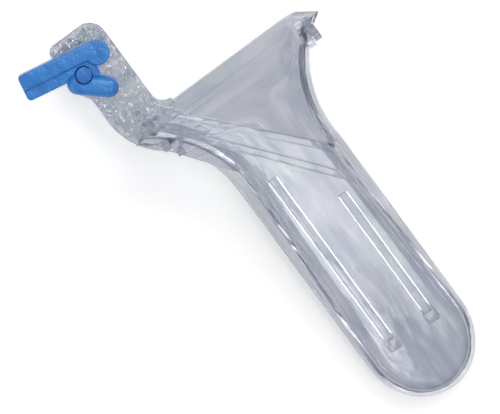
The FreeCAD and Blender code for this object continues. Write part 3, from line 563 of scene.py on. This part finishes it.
def make_blue_plastic(settings):
    """Opaque glossy blue with pale flow streaks and a fine grain."""
    material, tree = new_material("Blue moulded plastic")
    links = tree.links
    output = add_node(tree, "ShaderNodeOutputMaterial", (900, 0))
    surface = add_node(tree, "ShaderNodeBsdfPrincipled", (600, 0))
    surface.inputs["IOR"].default_value = settings.ior
    surface.inputs["Subsurface Weight"].default_value = BLUE_DEPTH_GLOW
    surface.inputs["Subsurface Scale"].default_value = BLUE_GLOW_DEPTH
    place = add_node(tree, "ShaderNodeTexCoord", (-900, 0))
    flow = add_node(tree, "ShaderNodeGroup", (-650, 150), node_tree=flow_ripple_group())
    flow.inputs["Width"].default_value = settings.flow_width
    flow.inputs["Stretch"].default_value = BLUE_STRETCH
    pebbles = add_node(tree, "ShaderNodeGroup", (-650, -150), node_tree=pebble_group())
    pebbles.inputs["Size"].default_value = settings.grain_size
    streaks = map_range(tree, (-450, 250), BLUE_STREAK_BAND)
    colour = add_node(tree, "ShaderNodeMix", (-200, 250), data_type="RGBA")
    colour.inputs["A"].default_value = (*settings.colour, 1.0)
    colour.inputs["B"].default_value = (*settings.colour_pale, 1.0)
    rough = map_range(tree, (-200, 0), (0.0, 1.0), BLUE_ROUGHNESS)
    edge = add_node(tree, "ShaderNodeBevel", (-50, -150), samples=EDGE_SAMPLES)
    edge.inputs["Radius"].default_value = settings.edge
    grain = add_node(tree, "ShaderNodeBump", (200, -150))
    grain.inputs["Distance"].default_value = settings.grain
    ripple = add_node(tree, "ShaderNodeBump", (400, -200))
    ripple.inputs["Distance"].default_value = settings.grain * BLUE_RIPPLE
    links.new(place.outputs["Object"], flow.inputs["Vector"])
    links.new(place.outputs["Object"], pebbles.inputs["Vector"])
    links.new(flow.outputs["Height"], streaks.inputs["Value"])
    links.new(streaks.outputs["Result"], colour.inputs["Factor"])
    links.new(colour.outputs["Result"], surface.inputs["Base Color"])
    links.new(flow.outputs["Drift"], rough.inputs["Value"])
    links.new(rough.outputs["Result"], surface.inputs["Roughness"])
    links.new(edge.outputs["Normal"], grain.inputs["Normal"])
    links.new(pebbles.outputs["Height"], grain.inputs["Height"])
    links.new(grain.outputs["Normal"], ripple.inputs["Normal"])
    links.new(flow.outputs["Height"], ripple.inputs["Height"])
    links.new(ripple.outputs["Normal"], surface.inputs["Normal"])
    links.new(surface.outputs["BSDF"], output.inputs["Surface"])
    return material


def clear_plastic():
    """The clear plastic, made once."""
    name = "Clear moulded plastic"
    return bpy.data.materials.get(name) or make_clear_plastic(bpy.context.scene.clear_plastic)


def blue_plastic():
    """The blue plastic, made once."""
    name = "Blue moulded plastic"
    return bpy.data.materials.get(name) or make_blue_plastic(bpy.context.scene.blue_plastic)


# Pieces

def on_rib(start, end):
    """Along a long rib under the sloping roof."""
    run = end - start
    straight = abs(run.y) < STRAIGHT * run.length and run.length > RIB_SHORTEST
    return straight and within(abs(start.y), RIB_SIDE) and within(start.x, RIB_REACH)


def on_bead(start, end):
    """Along one of the slanted beads over the roof."""
    run = end - start
    angle = math.degrees(math.atan2(abs(run.y), abs(run.x)))
    slanted = run.x * run.y > 0.0 and within(angle, BEAD_TURN)
    high = min(start.z, end.z) > HINGE.z + BEAD_ABOVE_HINGE
    return slanted and high and within(start.x, BEAD_REACH)


def on_ridge(start, end):
    """Along the ridge across the floor of the mouth."""
    run = end - start
    crosswise = abs(run.x) < STRAIGHT * run.length and run.length > RIDGE_SHORTEST
    return crosswise and within(start.x, RIDGE_REACH) and start.z < RIDGE_HIGHEST


def rib_boss(piece, width, side):
    """A square boss under the roof, where one long rib ends."""
    corners = [vertex.co for vertex in piece.data.vertices if vertex.co.z > ROOF_LOWEST]
    ends = [corner for corner in corners
            if within(corner.y * side, RIB_SIDE) and within(corner.x, RIB_END_REACH)]
    end = max(ends, key=lambda corner: corner.x)
    place = (end.x + width * BOSS_FORWARD, RIB_MIDDLE * side, end.z + BOSS_RISE)
    bpy.ops.mesh.primitive_cube_add(size=1.0, location=place, rotation=(0.0, ROOF_SLOPE, 0.0))
    boss = bpy.context.object
    boss.scale = (width, width, width * BOSS_HEIGHT)
    settle(boss)
    rounding = boss.modifiers.new("rounding", "BEVEL")
    rounding.width = width * BOSS_ROUNDING
    rounding.segments = BOSS_STEPS
    take(boss)
    bpy.ops.object.modifier_apply(modifier="rounding")
    return boss


class SPECULUM_OT_valves(bpy.types.Operator):
    """Join and smooth the two clear valves"""

    bl_idname = "speculum.valves"
    bl_label = "Clear valves"

    def execute(self, context):
        settings = context.scene.clear_plastic
        for node in ("lower_valve", "upper_valve"):
            piece = merged_copy(node, f"{node}_moulding")
            if node == "lower_valve":
                soften(piece, settings.ridge_rounding, on_ridge)
            else:
                bosses = [rib_boss(piece, settings.boss, side) for side in (-1.0, 1.0)]
                soften(piece, settings.rib_rounding, on_rib)
                soften(piece, settings.bead_rounding, on_bead)
                take(piece)
                for boss in bosses:
                    boss.select_set(True)
                bpy.ops.object.join()
            smooth(piece)
            finish_piece(piece, node, clear_plastic())
        return {"FINISHED"}


def along_stem(point):
    """Height of the point over the stem's foot."""
    return (Vector(point) - STEM_FOOT).dot(STEM_UP)


def keep_side(piece, height, keep_above):
    """Cut the piece square to the stem and close the cut."""
    take(piece)
    bpy.ops.object.mode_set(mode="EDIT")
    bpy.ops.mesh.select_all(action="SELECT")
    bpy.ops.mesh.bisect(plane_co=STEM_FOOT + STEM_UP * height, plane_no=STEM_UP, use_fill=True,
                        clear_inner=keep_above, clear_outer=not keep_above)
    bpy.ops.object.mode_set(mode="OBJECT")


def thread_outline(settings):
    """The thread's outline over one turn: one point, extruded from corner to corner."""
    root = settings.radius - settings.depth
    corners = [Vector((settings.radius if crest else root, 0.0, share * settings.pitch))
               for crest, share in THREAD_OUTLINE]
    deselect()
    bpy.ops.mesh.primitive_plane_add(size=settings.pitch, location=corners[0])
    outline = bpy.context.object
    outline.name = "lock_screw_thread"
    bpy.ops.object.mode_set(mode="EDIT")
    bpy.ops.mesh.select_mode(type="VERT")
    bpy.ops.mesh.select_all(action="SELECT")
    bpy.ops.mesh.merge(type="CENTER")
    # Settled here, so that the points made next are numbered in the order of the corners
    settle(outline)
    bpy.ops.object.mode_set(mode="EDIT")
    for here, there in zip(corners, corners[1:]):
        bpy.ops.mesh.extrude_vertices_move(TRANSFORM_OT_translate={"value": there - here})
    bpy.ops.object.mode_set(mode="OBJECT")
    # The steps add up with rounding, so each point is put exactly in its corner
    for vertex, corner in zip(outline.data.vertices, corners):
        vertex.co = corner
    return outline


def threaded_stem(settings, low, high):
    """The outline screwed up round the stem, and cut square and closed at both ends."""
    stem = thread_outline(settings)
    screw = stem.modifiers.new("thread", "SCREW")
    screw.axis = "Z"
    screw.screw_offset = settings.pitch
    screw.iterations = int((high - low) / settings.pitch) + SPARE_TURNS
    screw.steps = settings.steps
    screw.render_steps = settings.steps
    screw.use_merge_vertices = False
    take(stem)
    bpy.ops.object.modifier_apply(modifier="thread")
    stem.location = STEM_FOOT + STEM_UP * (low - settings.pitch * TURNS_BELOW)
    stem.rotation_euler = STEM_UP.to_track_quat("Z", "X").to_euler()
    settle(stem)
    bpy.ops.object.mode_set(mode="EDIT")
    bpy.ops.mesh.select_all(action="SELECT")
    bpy.ops.mesh.remove_doubles(threshold=THREAD_WELD)
    bpy.ops.object.mode_set(mode="OBJECT")
    keep_side(stem, low, True)
    keep_side(stem, high, False)
    bpy.ops.object.mode_set(mode="EDIT")
    bpy.ops.mesh.select_all(action="SELECT")
    bpy.ops.mesh.normals_make_consistent(inside=False)
    bpy.ops.object.mode_set(mode="OBJECT")
    return stem


class SPECULUM_OT_screw(bpy.types.Operator):
    """Make the blue screw, with its thread cut round the stem"""

    bl_idname = "speculum.screw"
    bl_label = "Lock screw"

    def execute(self, context):
        piece = merged_copy("lock_screw", "lock_screw_moulding")
        heights = [along_stem(vertex.co) for vertex in piece.data.vertices]
        low, high = min(heights), max(heights)
        head = low + context.scene.stem_thread.head
        keep_side(piece, head, False)
        stem = threaded_stem(context.scene.stem_thread, head - STEM_OVERLAP, high)
        take(piece)
        stem.select_set(True)
        bpy.ops.object.join()
        smooth(piece)
        finish_piece(piece, "lock_screw", blue_plastic())
        return {"FINISHED"}


class SPECULUM_OT_nut(bpy.types.Operator):
    """Make the blue nut with its stepped lever and thumb lobe"""

    bl_idname = "speculum.nut"
    bl_label = "Lock nut"

    def execute(self, context):
        piece = merged_copy("lock_nut", "lock_nut_moulding")
        smooth(piece)
        finish_piece(piece, "lock_nut", blue_plastic())
        return {"FINISHED"}


# Studio

def seen_by_glass(tree):
    """The light path, and 1 for rays that come by a mirror or through the clear plastic."""
    path = add_node(tree, "ShaderNodeLightPath", (-900, 300))
    glossy = add_node(tree, "ShaderNodeMath", (-700, 300), operation="MAXIMUM")
    tree.links.new(path.outputs["Is Glossy Ray"], glossy.inputs[0])
    tree.links.new(path.outputs["Is Transmission Ray"], glossy.inputs[1])
    return path, glossy


def make_floor(settings):
    """Pale floor that keeps the shadow; the clear plastic shows it in a painted shade colour that
    stands in for the object's shadow beneath it.
    """
    material, tree = new_material("Pale floor")
    links = tree.links
    output = add_node(tree, "ShaderNodeOutputMaterial", (900, 0))
    surface = add_node(tree, "ShaderNodeBsdfPrincipled", (300, 0))
    surface.inputs["Base Color"].default_value = (*settings.floor, 1.0)
    surface.inputs["Roughness"].default_value = FLOOR_ROUGHNESS
    surface.inputs["Specular IOR Level"].default_value = 0.0
    surface.inputs["Emission Color"].default_value = (1.0, 1.0, 1.0, 1.0)
    glow = add_node(tree, "ShaderNodeMath", (0, -200), operation="MULTIPLY")
    glow.inputs[1].default_value = settings.floor_glow
    backdrop_or_painted_shade = add_node(tree, "ShaderNodeEmission", (300, -400))
    # Painted shade: rays through the clear plastic see the floor in the painted shade colour, and
    # mirrored rays see it white
    shown = add_node(tree, "ShaderNodeMix", (0, -450), data_type="RGBA")
    shown.inputs["A"].default_value = (1.0, 1.0, 1.0, 1.0)
    shown.inputs["B"].default_value = (*settings.painted_shade_under_glass, 1.0)
    mix = add_node(tree, "ShaderNodeMixShader", (600, 0))
    path, glossy = seen_by_glass(tree)
    links.new(path.outputs["Is Camera Ray"], glow.inputs[0])
    links.new(glow.outputs["Value"], surface.inputs["Emission Strength"])
    links.new(path.outputs["Is Transmission Ray"], shown.inputs["Factor"])
    links.new(shown.outputs["Result"], backdrop_or_painted_shade.inputs["Color"])
    links.new(glossy.outputs["Value"], mix.inputs["Fac"])
    links.new(surface.outputs["BSDF"], mix.inputs[1])
    links.new(backdrop_or_painted_shade.outputs["Emission"], mix.inputs[2])
    links.new(mix.outputs["Shader"], output.inputs["Surface"])
    return material


def make_room(settings):
    """Even light for the object, and a darker horizon for what shines or is clear."""
    world = bpy.data.worlds.new("Room")
    bpy.context.scene.world = world
    world.use_nodes = True
    tree = world.node_tree
    tree.nodes.clear()
    links = tree.links
    output = add_node(tree, "ShaderNodeOutputWorld", (900, 0))
    even = add_node(tree, "ShaderNodeBackground", (300, 0))
    even.inputs["Strength"].default_value = settings.room
    white = add_node(tree, "ShaderNodeBackground", (300, -200))
    white.inputs["Strength"].default_value = 1.0
    seen = add_node(tree, "ShaderNodeMixShader", (600, 0))
    path, glossy = seen_by_glass(tree)
    either = add_node(tree, "ShaderNodeMath", (0, 200), operation="MAXIMUM")
    aim = add_node(tree, "ShaderNodeTexCoord", (-900, -200))
    parts = add_node(tree, "ShaderNodeSeparateXYZ", (-700, -200))
    height = add_node(tree, "ShaderNodeMath", (-500, -200), operation="ABSOLUTE")
    rise = map_range(tree, (-300, -200), HORIZON_BAND, interpolation_type="SMOOTHSTEP")
    shade = add_node(tree, "ShaderNodeMix", (0, -200), data_type="RGBA")
    shade.inputs["A"].default_value = (*settings.horizon, 1.0)
    shade.inputs["B"].default_value = (1.0, 1.0, 1.0, 1.0)
    clean = add_node(tree, "ShaderNodeMix", (150, -200), data_type="RGBA")
    clean.inputs["B"].default_value = (1.0, 1.0, 1.0, 1.0)
    links.new(path.outputs["Is Camera Ray"], either.inputs[0])
    links.new(glossy.outputs["Value"], either.inputs[1])
    links.new(aim.outputs["Generated"], parts.inputs["Vector"])
    links.new(parts.outputs["Z"], height.inputs[0])
    links.new(height.outputs["Value"], rise.inputs["Value"])
    links.new(rise.outputs["Result"], shade.inputs["Factor"])
    links.new(path.outputs["Is Camera Ray"], clean.inputs["Factor"])
    links.new(shade.outputs["Result"], clean.inputs["A"])
    links.new(clean.outputs["Result"], white.inputs["Color"])
    links.new(either.outputs["Value"], seen.inputs["Fac"])
    links.new(even.outputs["Background"], seen.inputs[1])
    links.new(white.outputs["Background"], seen.inputs[2])
    links.new(seen.outputs["Shader"], output.inputs["Surface"])


def soft_lamp(name, place, target, size, power):
    """A rectangular lamp that faces the target."""
    bpy.ops.object.light_add(type="AREA", location=place)
    lamp = bpy.context.object
    lamp.name = name
    lamp.data.shape = "RECTANGLE"
    lamp.data.size = size[0]
    lamp.data.size_y = size[1]
    lamp.data.energy = power
    lamp.rotation_euler = (target - Vector(place)).to_track_quat("-Z", "Y").to_euler()


class SPECULUM_OT_studio(bpy.types.Operator):
    """Lay the pale floor, hang the soft lamps and set the camera over the table"""

    bl_idname = "speculum.studio"
    bl_label = "Studio"

    def execute(self, context):
        settings = context.scene.studio
        deselect()
        low, high = cad_box
        middle = (Vector(low) + Vector(high)) / 2

        place = (middle.x, middle.y, -FLOOR_DROP)
        bpy.ops.mesh.primitive_plane_add(size=FLOOR_SIZE, location=place)
        floor = context.object
        floor.name = "floor"
        settle(floor)
        floor.data.materials.append(make_floor(settings))

        make_room(settings)
        for name, place, size, share in LAMPS:
            soft_lamp(name, place, middle, size, settings.lamp * share)

        across = Vector((math.cos(settings.turn), math.sin(settings.turn), 0.0))
        up = Vector((-math.sin(settings.turn), math.cos(settings.turn), 0.0))
        pixels_per_metre = settings.scale * 1000.0
        right = (PICTURE_WIDTH / 2 - settings.hinge_x) / pixels_per_metre
        down = (PICTURE_HEIGHT / 2 - settings.hinge_y) / pixels_per_metre
        place = HINGE + across * right - up * down
        place.z += settings.camera_height
        bpy.ops.object.camera_add(location=place, rotation=Euler((0.0, 0.0, settings.turn)))
        camera = context.object
        camera.name = "camera"
        camera.data.sensor_width = SENSOR * 1000.0
        picture_metres = PICTURE_WIDTH / pixels_per_metre
        camera.data.lens = SENSOR * 1000.0 * settings.camera_height / picture_metres
        camera.data.clip_start = NEAREST_SEEN
        camera.data.clip_end = FARTHEST_SEEN
        context.scene.camera = camera
        context.scene.view_settings.view_transform = "Standard"
        context.scene.cycles.max_bounces = WALL_BOUNCES
        context.scene.cycles.glossy_bounces = GLOSS_BOUNCES
        context.scene.cycles.transmission_bounces = WALL_BOUNCES
        deselect()
        return {"FINISHED"}


class SPECULUM_PT_panel(bpy.types.Panel):
    """Sizes, colours and pieces of the speculum"""

    bl_label = "Speculum"
    bl_idname = "SPECULUM_PT_panel"
    bl_space_type = "VIEW_3D"
    bl_region_type = "UI"
    bl_category = "Speculum"

    def draw(self, context):
        layout = self.layout
        for name, group in SETTINGS:
            box = layout.box()
            box.label(text=group.__doc__)
            for prop in group.__annotations__:
                box.prop(getattr(context.scene, name), prop)
        for operator in OPERATORS:
            layout.operator(operator.bl_idname)


OPERATORS = (
    SPECULUM_OT_studio,
    SPECULUM_OT_valves,
    SPECULUM_OT_screw,
    SPECULUM_OT_nut,
)


def register():
    """Make the settings, operators and panel known to Blender."""
    for name, group in SETTINGS:
        bpy.utils.register_class(group)
        setattr(bpy.types.Scene, name, PointerProperty(type=group))
    for operator in OPERATORS:
        bpy.utils.register_class(operator)
    bpy.utils.register_class(SPECULUM_PT_panel)


def unregister():
    """Take them out again, in the opposite order."""
    bpy.utils.unregister_class(SPECULUM_PT_panel)
    for operator in reversed(OPERATORS):
        bpy.utils.unregister_class(operator)
    for name, group in reversed(SETTINGS):
        delattr(bpy.types.Scene, name)
        bpy.utils.unregister_class(group)


def main():
    register()
    bpy.ops.speculum.studio()
    bpy.ops.speculum.valves()
    bpy.ops.speculum.screw()
    bpy.ops.speculum.nut()


if __name__ == "__main__":
    main()
